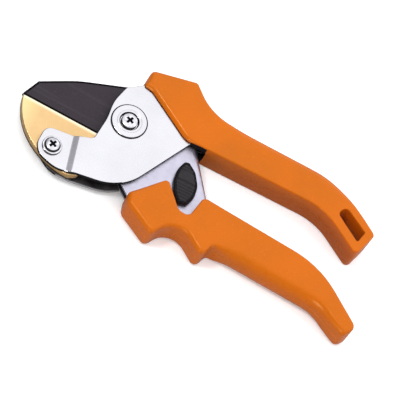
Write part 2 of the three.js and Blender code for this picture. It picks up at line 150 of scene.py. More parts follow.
BLADE = [
    (-54.9, EDGE_Y, 0.3), (-8, EDGE_Y, 3), (8, -18, 8), (24, -15, 4), (28, -1, 4),
    (24, 9, 5), (10, 17, 6), (-4, 22.4, 10), (-33, 9.6, 60), (-50.6, -1.7, 1),
]
CHANNEL = [
    (11.4, -32.8, 0.8), (20, -39.5, 5), (32, -39.5, 8), (56, -37.5, 12), (104, -37.5, 4),
    (104, -26, 4), (60, -25.5, 6), (55, -18.6, 3), (36.9, 7.2, 2.2), (8, 14, 9),
    (-9, 12, 8), (-9, -8, 8),
]
CHANNEL_HOLLOW = [
    (-20, -50, 1), (102.5, -50, 1), (102.5, -27.5, 1), (59, -27, 4), (53.4, -19.2, 3),
    (35.6, 5.2, 1.5), (28, 7.2, 1), (26, 30, 1), (-20, 30, 1),
]
CATCH_LEAF = [
    (-2.2, -CATCH_LENGTH / 2, 2), (2.6, -CATCH_LENGTH / 2, 2), (6.2, -7, 8), (7.4, -0.5, 9),
    (5.4, 7.2, 8), (1.6, CATCH_LENGTH / 2, 1.6), (-1, CATCH_LENGTH / 2, 1.6), (-4.2, 7.4, 8),
    (-5.7, 0.8, 9), (-5, -6.6, 8),
]

# -------------------- flat geometry


def unit(vectors):
    """The vectors, each made one long."""
    lengths = np.linalg.norm(vectors, axis=-1, keepdims=True)
    return vectors / np.maximum(lengths, 1e-12)


def smooth_step(low, high, value):
    """0 below low, 1 above high, and a smooth rise between them."""
    t = np.clip((value - low) / (high - low), 0, 1)
    return t * t * (3 - 2 * t)


def round_corners(corners):
    """The outline as points, with an arc in place of each corner."""
    points = []
    places = np.array([c[:2] for c in corners], float)
    for i, (x, y, radius) in enumerate(corners):
        corner = places[i]
        back = unit(places[i - 1] - corner)
        ahead = unit(places[(i + 1) % len(places)] - corner)
        turn = math.pi - math.acos(float(np.clip(back @ ahead, -1, 1)))
        centre = corner + unit(back + ahead) * radius / math.cos(turn / 2)
        start = corner + back * radius * math.tan(turn / 2) - centre
        side = np.sign(back[0] * ahead[1] - back[1] * ahead[0]) or 1.0
        first = math.atan2(start[1], start[0])
        steps = max(1, math.ceil(turn / ARC_STEP))
        for k in range(steps + 1):
            angle = first - side * turn * k / steps
            points.append(centre + radius * np.array([math.cos(angle), math.sin(angle)]))
    return np.array(points)


def subdivided(points, spacing):
    """The outline with extra points, so that no edge is longer than spacing."""
    result = []
    for here, after in zip(points, np.roll(points, -1, axis=0)):
        pieces = max(1, math.ceil(np.linalg.norm(after - here) / spacing))
        result.extend(here + (after - here) * k / pieces for k in range(pieces))
    return np.array(result)


def outward_normals(points):
    """Which way is out at each point of an anticlockwise outline."""
    along = unit(np.roll(points, -1, axis=0) - np.roll(points, 1, axis=0))
    return np.stack([along[:, 1], -along[:, 0]], axis=1)


def grown(corners, gap):
    """The rounded outline, moved outwards by the gap."""
    points = round_corners(corners)
    return points + outward_normals(points) * gap


def circle(centre, radius, count=48):
    """Points anticlockwise round a circle."""
    turn = np.arange(count) * 2 * math.pi / count
    return np.array(centre) + radius * np.stack([np.cos(turn), np.sin(turn)], axis=1)


def distance_inside(points, loops):
    """Distance from each point to the loops: positive in the material, negative outside."""
    starts = np.concatenate(loops)
    ends = np.concatenate([np.roll(loop, -1, axis=0) for loop in loops])
    along = ends - starts
    squared = np.maximum((along ** 2).sum(1), 1e-12)
    result = np.empty(len(points))
    for first in range(0, len(points), 2000):
        p = points[first:first + 2000, None, :]
        t = np.clip(((p - starts) * along).sum(2) / squared, 0, 1)
        nearest = np.linalg.norm(starts + t[..., None] * along - p, axis=2).min(1)
        above = (starts[:, 1] > p[..., 1]) != (ends[:, 1] > p[..., 1])
        rise = np.where(along[:, 1] == 0, 1e-12, along[:, 1])
        crossing = starts[:, 0] + (p[..., 1] - starts[:, 1]) * along[:, 0] / rise
        inside = (above & (p[..., 0] < crossing)).sum(1) % 2 == 1
        result[first:first + 2000] = np.where(inside, nearest, -nearest)
    return result


class Section:
    """A flat section with a rounded rim. rim(points, normals) gives, at each point of an
    outline, how far the round reaches inwards and how far it drops."""

    SOFTNESS = 1.0    # the rim's size blends over about this many millimetres

    def __init__(self, outline, holes=(), rim=None, spacing=2.0, fill=2.5, rings=6, extra=()):
        loops = [subdivided(outline, spacing)] + [hole[::-1] for hole in holes]
        self.loops = loops
        self.edge = np.concatenate(loops)
        normals = np.concatenate([outward_normals(loop) for loop in loops])
        self.reach, self.fall = rim(self.edge, normals)
        candidates = [self._rings(normals, rings), self._grid(fill), *extra]
        inner = np.concatenate([c for c in candidates if len(c)])
        inner = inner[distance_inside(inner, loops) > 0.25 * self.reach.min() / rings]
        self._triangulate(inner, min(0.12, 0.3 * self.reach.min() / rings))

    def _rings(self, normals, rings):
        """Rows of points down the rim's round, closer together near the outline."""
        kept = []
        for k in range(1, rings + 1):
            inset = self.reach * (1 - math.cos(math.pi / 2 * k / rings))
            points = self.edge - normals * inset[:, None]
            depth = distance_inside(points, self.loops)
            kept.append(points[depth > 0.985 * inset])
        return np.concatenate(kept)

    def _grid(self, fill):
        """An even triangular grid of points inside the rim."""
        low = self.edge.min(0)
        high = self.edge.max(0)
        rows = []
        for k, y in enumerate(np.arange(low[1], high[1], fill * 0.866)):
            x = np.arange(low[0] + (k % 2) * fill / 2, high[0], fill)
            rows.append(np.stack([x, np.full(len(x), y)], axis=1))
        points = np.concatenate(rows)
        depth = distance_inside(points, self.loops)
        points = points[depth > 0.5 * fill]
        depth = depth[depth > 0.5 * fill]
        return points[depth > self._rim_at(points)[0] + 0.3 * fill]

    def _rim_at(self, points):
        """The rim's reach and fall near each point, blended along the outline."""
        reach = np.empty(len(points))
        fall = np.empty(len(points))
        for first in range(0, len(points), 2000):
            p = points[first:first + 2000, None, :]
            away = np.linalg.norm(self.edge - p, axis=2)
            weight = np.exp((away.min(1, keepdims=True) - away) / self.SOFTNESS)
            weight /= weight.sum(1, keepdims=True)
            reach[first:first + 2000] = weight @ self.reach
            fall[first:first + 2000] = weight @ self.fall
        return reach, fall

    def _triangulate(self, inner, cell):
        """Joins the outline and the inner points, which are kept a cell apart."""
        _, first = np.unique(np.round(inner / cell).astype(int), axis=0, return_index=True)
        inner = inner[np.sort(first)]
        count = len(self.edge)
        edges = []
        start = 0
        for loop in self.loops:
            size = len(loop)
            edges.extend((start + k, start + (k + 1) % size) for k in range(size))
            start += size
        vectors = [Vector(p) for p in np.concatenate([self.edge, inner])]
        verts, _, faces, origin, _, _ = delaunay_2d_cdt(vectors, edges, [], 1, 1e-5)
        self.points = np.array([v[:] for v in verts])
        faces = np.array(faces)
        centres = self.points[faces].mean(1)
        faces = faces[distance_inside(centres, self.loops) > 0]
        a, b, c = (self.points[faces[:, k]] for k in range(3))
        turned = (b - a)[:, 0] * (c - a)[:, 1] - (b - a)[:, 1] * (c - a)[:, 0] < 0
        faces[turned] = faces[turned][:, ::-1]
        self.faces = faces
        self.rim = np.empty(count, int)
        for new, old in enumerate(origin):
            for index in old:
                if index < count:
                    self.rim[index] = new
        self.depth = np.maximum(distance_inside(self.points, self.loops), 0)
        self.depth[self.rim] = 0

    def drop(self):
        """How far the surface lies below the flat face at each point."""
        reach, fall = self._rim_at(self.points)
        reach[self.rim] = self.reach
        fall[self.rim] = self.fall
        beyond = np.clip(1 - self.depth / reach, 0, 1)
        return fall * (1 - np.sqrt(1 - beyond ** 2))

    def solid(self, front, back, seam=0.0):
        """Closed mesh between two height fields. seam is the height of the moulding line
        that runs round the outer wall, or 0 for none."""
        count = len(self.points)
        points = [np.column_stack([self.points, front]), np.column_stack([self.points, back])]
        faces = [tuple(f) for f in self.faces]
        faces += [tuple(count + i for i in f[::-1]) for f in self.faces]
        start = 0
        total = 2 * count
        for number, loop in enumerate(self.loops):
            ids = self.rim[start:start + len(loop)]
            start += len(loop)
            walls = [ids, ids + count]
            if seam and number == 0:
                normals = outward_normals(self.points[ids])
                middle = (front[ids] + back[ids]) / 2
                for rise, out in ((0.2, 0), (0.07, seam), (-0.07, seam), (-0.2, 0)):
                    shifted = self.points[ids] + normals * out
                    points.append(np.column_stack([shifted, middle + rise]))
                    walls.insert(-1, np.arange(total, total + len(ids)))
                    total += len(ids)
            for upper, lower in zip(walls, walls[1:]):
                for k in range(len(ids)):
                    n = (k + 1) % len(ids)
                    faces.append((upper[k], lower[k], lower[n], upper[n]))
        return np.concatenate(points), faces


# -------------------- meshes


def mesh_object(name, points, faces):
    """A mesh object, from points in millimetres."""
    mesh = bpy.data.meshes.new(name)
    mesh.from_pydata((np.array(points) * MM).tolist(), [], [tuple(map(int, f)) for f in faces])
    mesh.validate()
    mesh.update()
    obj = bpy.data.objects.new(name, mesh)
    bpy.context.scene.collection.objects.link(obj)
    return obj


def shade(obj):
    """Smooth shading, with hard edges where the surface turns sharply."""
    mesh = obj.data
    mesh.polygons.foreach_set("use_smooth", [True] * len(mesh.polygons))
    mesh.set_sharp_from_angle(angle=SHARP_ANGLE)


def slab(outline, low, high):
    """A plain prism, used to cut with."""
    count = len(outline)
    points = [(*p, low) for p in outline] + [(*p, high) for p in outline]
    faces = [tuple(range(count))[::-1], tuple(range(count, 2 * count))]
    for k in range(count):
        n = (k + 1) % count
        faces.append((k, n, n + count, k + count))
    return mesh_object("cutter", points, faces)


def carve(obj, *cutters, operation="DIFFERENCE"):
    """Cuts the cutters out of obj, or joins them to it, and removes them."""
    for cutter in cutters:
        step = obj.modifiers.new("carve", "BOOLEAN")
        step.operation = operation
        step.solver = "EXACT"
        step.object = cutter
    bpy.context.view_layer.update()
    evaluated = obj.evaluated_get(bpy.context.evaluated_depsgraph_get())
    result = bpy.data.meshes.new_from_object(evaluated)
    obj.modifiers.clear()
    obj.data = result
    for cutter in cutters:
        bpy.data.objects.remove(cutter)


def turned(name, profile, centre=PIVOT):
    """A solid of revolution from (radius, height) pairs that start and end on the axis, or
    that close on themselves."""
    count = TURNED_SIDES
    on_axis = profile[0][0] == 0
    points = []
    rings = []
    for radius, height in profile:
        if radius == 0:
            rings.append([len(points)] * count)
            points.append((*centre, height))
        else:
            rings.append(list(range(len(points), len(points) + count)))
            points.extend((*p, height) for p in circle(centre, radius, count))
    if not on_axis:
        rings.append(rings[0])
    faces = []
    for lower, upper in zip(rings, rings[1:]):
        for k in range(count):
            n = (k + 1) % count
            face = dict.fromkeys([lower[k], lower[n], upper[n], upper[k]])
            faces.append(tuple(face))
    return mesh_object(name, points, faces)


def arc_profile(centre, radius, start, end, steps=6):
    """Points of a round in a turned profile, with angles in degrees."""
    angles = np.radians(np.linspace(start, end, steps + 1))
    return [(centre[0] + radius * math.cos(a), centre[1] + radius * math.sin(a)) for a in angles]


def finish(obj, material, body, nodes):
    """Gives a piece its finish, its body and the CAD nodes that it stands for."""
    obj.data.materials.clear()
    obj.data.materials.append(material)
    shade(obj)
    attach(obj, body)
    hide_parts(*nodes)


def repaint(obj, material, chosen):
    """Gives another material to the faces that chosen(centre, normal) picks, in mm."""
    obj.data.materials.append(material)
    number = len(obj.data.materials) - 1
    for polygon in obj.data.polygons:
        if chosen(polygon.center / MM, polygon.normal):
            polygon.material_index = number


# -------------------- materials


class Finish:
    """A Principled material with helpers for its colour, roughness and bump detail."""

    def __init__(self, name, colour, roughness, metallic=0.0, specular=0.5):
        self.material = bpy.data.materials.new(name)
        self.material.use_nodes = True
        self.tree = self.material.node_tree
        self.shader = self.tree.nodes["Principled BSDF"]
        self.coordinates = self.node("ShaderNodeTexCoord").outputs["Object"]
        self.shader.inputs["Base Color"].default_value = (*colour, 1)
        self.shader.inputs["Roughness"].default_value = roughness
        self.shader.inputs["Metallic"].default_value = metallic
        self.shader.inputs["Specular IOR Level"].default_value = specular
        self.normal = None

    def node(self, kind, **settings):
        made = self.tree.nodes.new(kind)
        for key, value in settings.items():
            setattr(made, key, value)
        return made

    def link(self, output, target):
        self.tree.links.new(output, target)

    def noise(self, scale, detail, stretch=(1, 1, 1), turn=0.0):
        """Noise over the piece, with its scale in features per metre."""
        mapping = self.node("ShaderNodeMapping")
        mapping.inputs["Scale"].default_value = stretch
        mapping.inputs["Rotation"].default_value = (0, 0, turn)
        self.link(self.coordinates, mapping.inputs["Vector"])
        made = self.node("ShaderNodeTexNoise")
        made.inputs["Scale"].default_value = scale
        made.inputs["Detail"].default_value = detail
        self.link(mapping.outputs["Vector"], made.inputs["Vector"])
        return made.outputs["Fac"]

    def ramp(self, value, low, high, start=0.0, end=1.0):
        """Maps a value from low..high to start..end."""
        made = self.node("ShaderNodeMapRange")
        made.inputs["From Min"].default_value = low
        made.inputs["From Max"].default_value = high
        made.inputs["To Min"].default_value = start
        made.inputs["To Max"].default_value = end
        self.link(value, made.inputs["Value"])
        return made.outputs["Result"]

    def mix(self, amount, first, second):
        """Mixes two colours. Either can be a colour or another node's output."""
        made = self.node("ShaderNodeMix", data_type="RGBA")
        self.link(amount, made.inputs["Factor"])
        for socket, value in ((made.inputs[6], first), (made.inputs[7], second)):
            if isinstance(value, tuple):
                socket.default_value = (*value, 1)
            else:
                self.link(value, socket)
        return made.outputs[2]

    def clouds(self, scale, detail, first, second):
        """The two colours in soft clouds."""
        return self.mix(self.ramp(self.noise(scale, detail), 0.3, 0.7), first, second)

    def colour(self, output):
        self.link(output, self.shader.inputs["Base Color"])

    def rough(self, output):
        self.link(output, self.shader.inputs["Roughness"])

    def scuffs(self, scale, detail, low, high):
        """Roughness that wanders between low and high."""
        self.rough(self.ramp(self.noise(scale, detail), 0.3, 0.7, low, high))

    def bump(self, height, distance, strength=0.5):
        """Adds a bump of that depth in metres, over any bump that is there already."""
        made = self.node("ShaderNodeBump")
        made.inputs["Strength"].default_value = strength
        made.inputs["Distance"].default_value = distance
        self.link(height, made.inputs["Height"])
        if self.normal:
            self.link(self.normal, made.inputs["Normal"])
        self.normal = made.outputs["Normal"]
        self.link(self.normal, self.shader.inputs["Normal"])


def orange_plastic():
    """Satin moulded plastic: uneven pigment, a fine spark-eroded grain, rubbed patches."""
    f = Finish("orange_plastic", (0.56, 0.12, 0.004), 0.34, specular=0.32)
    f.shader.inputs["Specular Tint"].default_value = (1.0, 0.66, 0.3, 1)
    tone = f.clouds(34, 4, (0.545, 0.114, 0.003), (0.46, 0.104, 0.004))
    specks = f.ramp(f.noise(1700, 2), 0.66, 0.76)
    f.colour(f.mix(specks, tone, (0.66, 0.17, 0.01)))
    f.scuffs(90, 5, 0.22, 0.33)
    f.bump(f.noise(2600, 2), 0.00004)
    f.bump(f.noise(140, 3), 0.00012, 0.35)
    return f.material


def plated_steel(name, light, dark):
    """Nickel over brushed steel: fine lines along the plate and faint clouding."""
    f = Finish(name, light, 0.24, 1.0)
    f.colour(f.clouds(45, 5, light, dark))
    lines = f.noise(260, 3, stretch=(0.06, 6, 6), turn=math.radians(-12))
    f.rough(f.ramp(lines, 0.25, 0.75, 0.17, 0.33))
    f.bump(lines, 0.00001)
    return f.material


def satin_steel():
    """Pressed steel with a bead-blasted finish and light drawing marks."""
    f = Finish("satin_steel", (0.72, 0.70, 0.79), 0.4, 1.0)
    f.colour(f.clouds(60, 5, (0.50, 0.485, 0.57), (0.42, 0.405, 0.48)))
    f.scuffs(420, 4, 0.32, 0.5)
    f.bump(f.noise(1800, 2), 0.00003)
    return f.material


def bright_screw():
    """Polished zinc plate, a little uneven from the tumbling barrel."""
    f = Finish("bright_screw", (0.80, 0.79, 0.82), 0.18, 1.0)
    stains = f.ramp(f.noise(500, 4), 0.35, 0.65)
    f.colour(f.mix(stains, (0.66, 0.65, 0.68), (0.40, 0.39, 0.42)))
    f.scuffs(900, 4, 0.12, 0.3)
    f.bump(f.noise(700, 4), 0.00003, 0.6)
    return f.material


def painted_shade():
    """Painted shade, near black: for the driver recesses, the gaps, the plates' edges and other
    places where shade falls.
    """
    f = Finish("painted_shade", (0.008, 0.007, 0.008), 0.6, specular=0.06)
    shade_mottle = f.ramp(f.noise(900, 3), 0.4, 0.7)
    f.colour(f.mix(shade_mottle, (0.004, 0.004, 0.005), (0.014, 0.012, 0.013)))
    return f.material


def steel_in_shade():
    """Painted shade on steel: the inner faces between the plates and the channel's walls, and
    the foot of the screws' crowns, painted dark for the shade there.
    """
    f = Finish("steel_in_shade", (0.05, 0.048, 0.05), 0.42, 0.8)
    f.colour(f.clouds(160, 5, (0.03, 0.028, 0.03), (0.10, 0.095, 0.10)))
    f.scuffs(220, 4, 0.3, 0.6)
    f.bump(f.noise(900, 3), 0.00003)
    return f.material


def inner_steel():
    """Hidden fasteners, spacers and shims: dull zinc with a film of grease."""
    f = Finish("inner_steel", (0.42, 0.41, 0.43), 0.38, 1.0)
    f.colour(f.clouds(300, 4, (0.50, 0.49, 0.51), (0.30, 0.29, 0.30)))
    f.scuffs(500, 4, 0.28, 0.5)
    f.bump(f.noise(1200, 2), 0.00002)
    return f.material


def spring_wire():
    """Blued spring wire with drawing lines."""
    f = Finish("spring_wire", (0.20, 0.20, 0.22), 0.3, 1.0)
    f.colour(f.clouds(700, 4, (0.26, 0.26, 0.29), (0.13, 0.13, 0.15)))
    f.scuffs(1500, 3, 0.22, 0.42)
    return f.material


def blade_coating():
    """Dark non-stick coating: a soft speckle, rubbed lighter in long faint streaks."""
    f = Finish("blade_coating", (0.03, 0.024, 0.03), 0.44, specular=0.22)
    base = f.clouds(50, 4, (0.023, 0.015, 0.022), (0.018, 0.013, 0.018))
    streaks = f.noise(120, 4, stretch=(0.12, 3, 3), turn=math.radians(-28))
    rubbed = f.mix(f.ramp(streaks, 0.55, 0.8), base, (0.034, 0.027, 0.034))
    f.colour(f.mix(f.ramp(f.noise(2400, 2), 0.64, 0.74), rubbed, (0.05, 0.043, 0.052)))
    f.scuffs(300, 4, 0.38, 0.52)
    f.bump(f.noise(2000, 2), 0.00003)
    return f.material


def blade_coating_shaded_edge():
    """Painted shade on the coating along the blade's edges: black, with hardly any gloss."""
    f = Finish("blade_coating_shaded_edge", (0.005, 0.004, 0.005), 0.5, specular=0.03)
    f.colour(f.clouds(700, 4, (0.003, 0.002, 0.003), (0.009, 0.007, 0.009)))
    f.bump(f.noise(2000, 2), 0.00003)
    return f.material


def satin_brass():
    """Cast brass with a satin rub. Painted highlight: it is lighter and yellower towards the
    nose, and lighter along the landing for the edge.
    """
    f = Finish("satin_brass", (0.95, 0.66, 0.30), 0.3, 1.0)
    split = f.node("ShaderNodeSeparateXYZ")
    f.link(f.coordinates, split.inputs["Vector"])
    # Painted highlight: lighter and yellower towards the nose.
    nose_highlight = f.ramp(split.outputs["X"], -0.042, -0.054)
    warm = f.clouds(70, 5, (0.60, 0.405, 0.195), (0.54, 0.36, 0.165))
    body = f.mix(nose_highlight, warm, (0.66, 0.56, 0.27))
    # Painted highlight along the landing for the edge.
    landing_highlight = f.ramp(split.outputs["Y"], -0.0152, -0.0136)
    f.colour(f.mix(landing_highlight, body, (0.74, 0.68, 0.50)))
    f.scuffs(500, 4, 0.24, 0.42)
    f.bump(f.noise(900, 3, stretch=(0.3, 1, 1)), 0.00003)
    return f.material


def shaded_brass():
    """The anvil's sawn edge: painted brown with shade on the walls that face away from the
    light, and painted black with shadow at its foot.
    """
    f = Finish("shaded_brass", (0.16, 0.095, 0.04), 0.45, 0.8)
    split = f.node("ShaderNodeSeparateXYZ")
    f.link(f.coordinates, split.inputs["Vector"])
    foot = f.ramp(split.outputs["Z"], (ANVIL_BACK + 2.2) * MM, (ANVIL_BACK + 1.2) * MM)
    brown = f.clouds(300, 5, (0.60, 0.39, 0.17), (0.36, 0.22, 0.09))
    f.colour(f.mix(foot, brown, (0.02, 0.014, 0.008)))
    f.scuffs(500, 4, 0.35, 0.6)
    f.bump(f.noise(1500, 3), 0.00004)
    return f.material


def black_plastic():
    """Black moulded plastic with an uneven gloss."""
    f = Finish("black_plastic", (0.012, 0.010, 0.012), 0.34, specular=0.22)
    f.colour(f.clouds(400, 4, (0.009, 0.007, 0.009), (0.017, 0.014, 0.016)))
    f.scuffs(600, 4, 0.32, 0.5)
    f.bump(f.noise(3000, 2), 0.00003)
    return f.material


def pale_floor():
    """Pale studio card. It glows a little when seen, and bounces light as a grey card does."""
    f = Finish("pale_floor", (0.94, 0.94, 0.94), 0.8)
    card = f.mix(f.noise(9, 2), (0.93, 0.93, 0.93), (0.95, 0.95, 0.95))
    seen = f.node("ShaderNodeLightPath").outputs["Is Camera Ray"]
    f.colour(f.mix(seen, (0.42, 0.42, 0.42), card))
    f.shader.inputs["Emission Color"].default_value = (1, 1, 1, 1)
    f.link(f.ramp(seen, 0, 1, 0, 0.14), f.shader.inputs["Emission Strength"])
    return f.material


ORANGE = orange_plastic()
PLATED = plated_steel("plated_steel", (0.565, 0.56, 0.58), (0.515, 0.51, 0.53))
# A darker copy of the plated steel: painted shade for the joggle's sloped step.
STEP_IN_SHADE = plated_steel("plated_step_in_shade", (0.36, 0.355, 0.375), (0.30, 0.295, 0.315))
SATIN = satin_steel()
SCREW = bright_screw()
PAINTED_SHADE = painted_shade()
STEEL_IN_SHADE = steel_in_shade()
INNER = inner_steel()
SPRING = spring_wire()
COATING = blade_coating()
COATING_SHADED_EDGE = blade_coating_shaded_edge()
BRASS = satin_brass()
SHADED_BRASS = shaded_brass()
BLACK = black_plastic()

# -------------------- grips


def even_rim(reach, fall=None):
    """A rim that is the same all round."""
    def rim(points, normals):
        count = len(points)
        return np.full(count, reach), np.full(count, fall or reach)
    return rim


def upper_rim(points, normals):
    """Broad round beside the frame plate, full palm side, firm edge facing the fingers."""
    x = points[:, 0]
    facing_plate = smooth_step(0.2, 0.75, normals @ np.array([-0.66, -0.75]))
    lip = facing_plate * (1 - smooth_step(24, 40, x))
    palm = smooth_step(0.1, 0.8, normals[:, 1])
    handle = smooth_step(34, 60, x) * (1 - smooth_step(112, 132, x))
    in_slot = distance_inside(points, [grown(LANYARD_SLOT, 0.3)]) > 0
    nose_end = smooth_step(0.75, 0.97, -normals[:, 0]) * (x < 1)
    reach = 0.9 + 2.3 * lip + 0.8 * nose_end + palm * (0.7 + 3.0 * handle)
    fall = 0.9 + 2.0 * lip + 2.6 * nose_end + palm * (0.7 + 3.6 * handle)
    return np.where(in_slot, 0.5, reach), np.where(in_slot, 0.5, fall)


def lower_rim(points, normals):
    """Nearly half-round on the finger side, with a softer edge round the finger stop."""
    x = points[:, 0]
    fingers = smooth_step(0.0, 0.7, -normals[:, 1])
    handle = smooth_step(64, 80, x) * (1 - 0.55 * smooth_step(122, 142, x))
    stop = (1 - smooth_step(62, 70, x)) * fingers
    left_end = smooth_step(0.3, 0.9, -normals[:, 0]) * (1 - smooth_step(20, 30, x))
    reach = 1.1 + 4.2 * fingers * handle + 1.5 * np.maximum(stop, left_end)
    fall = 1.0 + 6.4 * fingers * handle + 2.2 * np.maximum(stop, left_end)
    return reach, fall


def moulded(name, section):
    """A grip's body, the same on both faces, with a moulding line round it."""
    drop = section.drop()
    points, faces = section.solid(GRIP_FRONT - drop, GRIP_BACK + drop, SEAM)
    return mesh_object(name, points, faces)


def upper_grip():
    """The grip over the frame plates' tails, with room for the lever in its lower corner."""
    slot = subdivided(round_corners(LANYARD_SLOT), 0.8)
    grip = moulded("upper_grip_moulding", Section(round_corners(UPPER_GRIP), [slot], upper_rim))
    depth = PLATE_FACE + LIP_GAP - MIDDLE
    plates = slab(grown([*FRAME_PLATE, *FRONT_NOSE], FIT), MIDDLE - depth, MIDDLE + depth)
    left, right = LEVER_CORNER_X
    bottom, top = LEVER_CORNER_Y
    corner = np.array([(left, bottom), (right, bottom), (right, top), (left, top)])
    lever_room = slab(corner, MIDDLE - LEVER_ROOM, MIDDLE + LEVER_ROOM)
    carve(grip, plates, lever_room)
    finish(grip, ORANGE, "anvil_frame", ["upper_grip"])

    def in_pocket(place, normal):
        across = left - 0.2 < place.x < right + 0.2
        along = bottom - 0.2 < place.y < top + 0.2
        return across and along and abs(place.z - MIDDLE) < depth + 0.1

    # Painted shade: the lever's pocket is painted near black.
    repaint(grip, PAINTED_SHADE, in_pocket)


def lower_grip():
    """The grip with the finger stop. Its U-shaped cut-out leaves the thumb catch free."""
    grip = moulded("lower_grip_moulding", Section(round_corners(LOWER_GRIP), rim=lower_rim))
    carve(grip, slab(grown(CHANNEL, FIT), CHANNEL_BACK - FIT, CHANNEL_FRONT + FIT))
    finish(grip, ORANGE, "blade_lever", ["lower_grip"])


# -------------------- frame


def across_step(x, y):
    """How far a place is from the pivot, measured across the step's bends."""
    return x * math.cos(JOGGLE_TURN) + y * math.sin(JOGGLE_TURN)


def joggle(points):
    """How far a plate is stepped towards the middle plane at each point."""
    u = across_step(points[:, 0], points[:, 1])
    bend = np.linspace(-0.5, 0.5, 9)
    ramps = [np.clip((JOGGLE_END - u - b) / (JOGGLE_END - JOGGLE_START), 0, 1) for b in bend]
    return PLATE_STEP * np.mean(ramps, axis=0)


def joggle_lines():
    """Rows of points along the step's bends."""
    rows = []
    v = np.arange(-46, -14, 1.2)
    for edge in (JOGGLE_START, JOGGLE_END):
        for shift in (-0.6, -0.3, 0, 0.3, 0.6):
            u = np.full(len(v), edge + shift)
            x = u * math.cos(JOGGLE_TURN) - v * math.sin(JOGGLE_TURN)
            y = u * math.sin(JOGGLE_TURN) + v * math.cos(JOGGLE_TURN)
            rows.append(np.stack([x, y], axis=1))
    return rows


def frame_plate(name, nose, side):
    """A plate with a stepped nose. side is 1 for the front plate and -1 for the back one."""
    holes = [circle(PIVOT, PIVOT_BORE, 64), circle(ANVIL_SCREW, ANVIL_SCREW_BORE, 32)]
    outline = round_corners([*FRAME_PLATE, *nose])
    section = Section(outline, holes, even_rim(0.5, 0.35), fill=3, rings=3, extra=joggle_lines())
    drop = section.drop()
    step = joggle(section.points)
    face = PLATE_FACE - MIDDLE
    outer = face - step - drop
    inner = face - PLATE - step + drop
    points, faces = section.solid(outer, inner)
    points[:, 2] = MIDDLE + side * points[:, 2]
    if side < 0:
        faces = [f[::-1] for f in faces]
    plate = mesh_object(name, points, faces)
    node = "front_frame_plate" if side > 0 else "back_frame_plate"
    finish(plate, PLATED, "anvil_frame", [node])
    dark_until = 60 if side > 0 else -20

    def on_the_wall(place, normal):
        return abs(normal.z) < 0.4 and place.x < dark_until

    def on_the_step(place, normal):
        between_bends = JOGGLE_START < across_step(place.x, place.y) < JOGGLE_END
        return between_bends and side * normal.z > 0.5

    def on_the_lower_bevel(place, normal):
        near_step = JOGGLE_START - 1 < across_step(place.x, place.y) < JOGGLE_END + 1
        sloped = 0.4 <= side * normal.z < 0.97 and normal.x + normal.y < -0.1
        return sloped and not near_step and place.x < dark_until

    # Painted shade: the inner face, the walls, the lower bevel and the joggle's step are painted
    # darker for the shade on them.
    repaint(plate, STEEL_IN_SHADE, lambda place, normal: side * normal.z < -0.8)
    repaint(plate, PAINTED_SHADE, on_the_wall)
    repaint(plate, STEP_IN_SHADE, on_the_step)
    repaint(plate, PAINTED_SHADE, on_the_lower_bevel)


def anvil():
    """A block with a flat landing for the edge. A quarter of an ellipse closes it below."""
    face = EDGE_Y - 0.2
    centre = np.array([-14.5, -7.0])
    width, height = 40.2, 35.4
    first = math.pi + math.asin((centre[1] - face) / height)
    turn = np.linspace(first, 1.5 * math.pi, 60)
    sweep = centre + np.stack([width * np.cos(turn), height * np.sin(turn)], axis=1)
    outline = np.array([(-9.5, face), *sweep, (-10.5, -40.0), (-9.5, -36.0)])
    hole = circle(ANVIL_SCREW, ANVIL_SCREW_BORE, 32)
    section = Section(outline, [hole], even_rim(0.5), spacing=1.2, fill=2.5, rings=4)
    drop = section.drop()
    points, faces = section.solid(ANVIL_FRONT - drop, ANVIL_BACK + drop)
    block = mesh_object("anvil_block", points, faces)
    finish(block, BRASS, "anvil_frame", ["anvil"])
    # Painted shade: the walls that don't face the blade's side are painted brown, black at the
    # foot.
    repaint(block, SHADED_BRASS, lambda place, normal: abs(normal.z) < 0.4 and normal.y < 0.5)


# -------------------- fasteners


def cross_cutter(centre, low, high):
    """A tapered cross with its point down, as a driver leaves it."""
    points = []
    for z, scale in ((low, 0.45), (high, 1.0)):
        for quarter in range(4):
            angle = CROSS_TURN + quarter * math.pi / 2
            along = np.array([math.cos(angle), math.sin(angle)])
            across = np.array([-along[1], along[0]])
            half = CROSS_WIDTH / 2 * (0.6 + 0.4 * scale)
            points.append((*(centre + along * half - across * half), z))
            points.append((*(centre + along * CROSS_REACH * scale - across * half), z))
            points.append((*(centre + along * CROSS_REACH * scale + across * half), z))
    ring = 12
    faces = [tuple(range(ring))[::-1], tuple(range(ring, 2 * ring))]
    faces += [(k, (k + 1) % ring, (k + 1) % ring + ring, k + ring) for k in range(ring)]
    return mesh_object("cutter", points, faces)


def cross_head(head, node, centre, depth, top):
    """Cuts the driver recess. It and the foot of the crown are painted dark with shade."""
    carve(head, cross_cutter(np.array(centre), top - depth, top + 1))
    finish(head, SCREW, "anvil_frame", [node])

    def in_recess(place, normal):
        away = math.hypot(place.x - centre[0], place.y - centre[1])
        return away < CROSS_REACH and (abs(normal.z) < 0.8 or place.z < top - 0.7 * depth)

    def round_the_crown(place, normal):
        away = math.hypot(place.x - centre[0], place.y - centre[1])
        return away > 3.35 and (normal.z < 0.75 or place.z < top - 1.8)

    repaint(head, STEEL_IN_SHADE, round_the_crown)
    repaint(head, PAINTED_SHADE, in_recess)


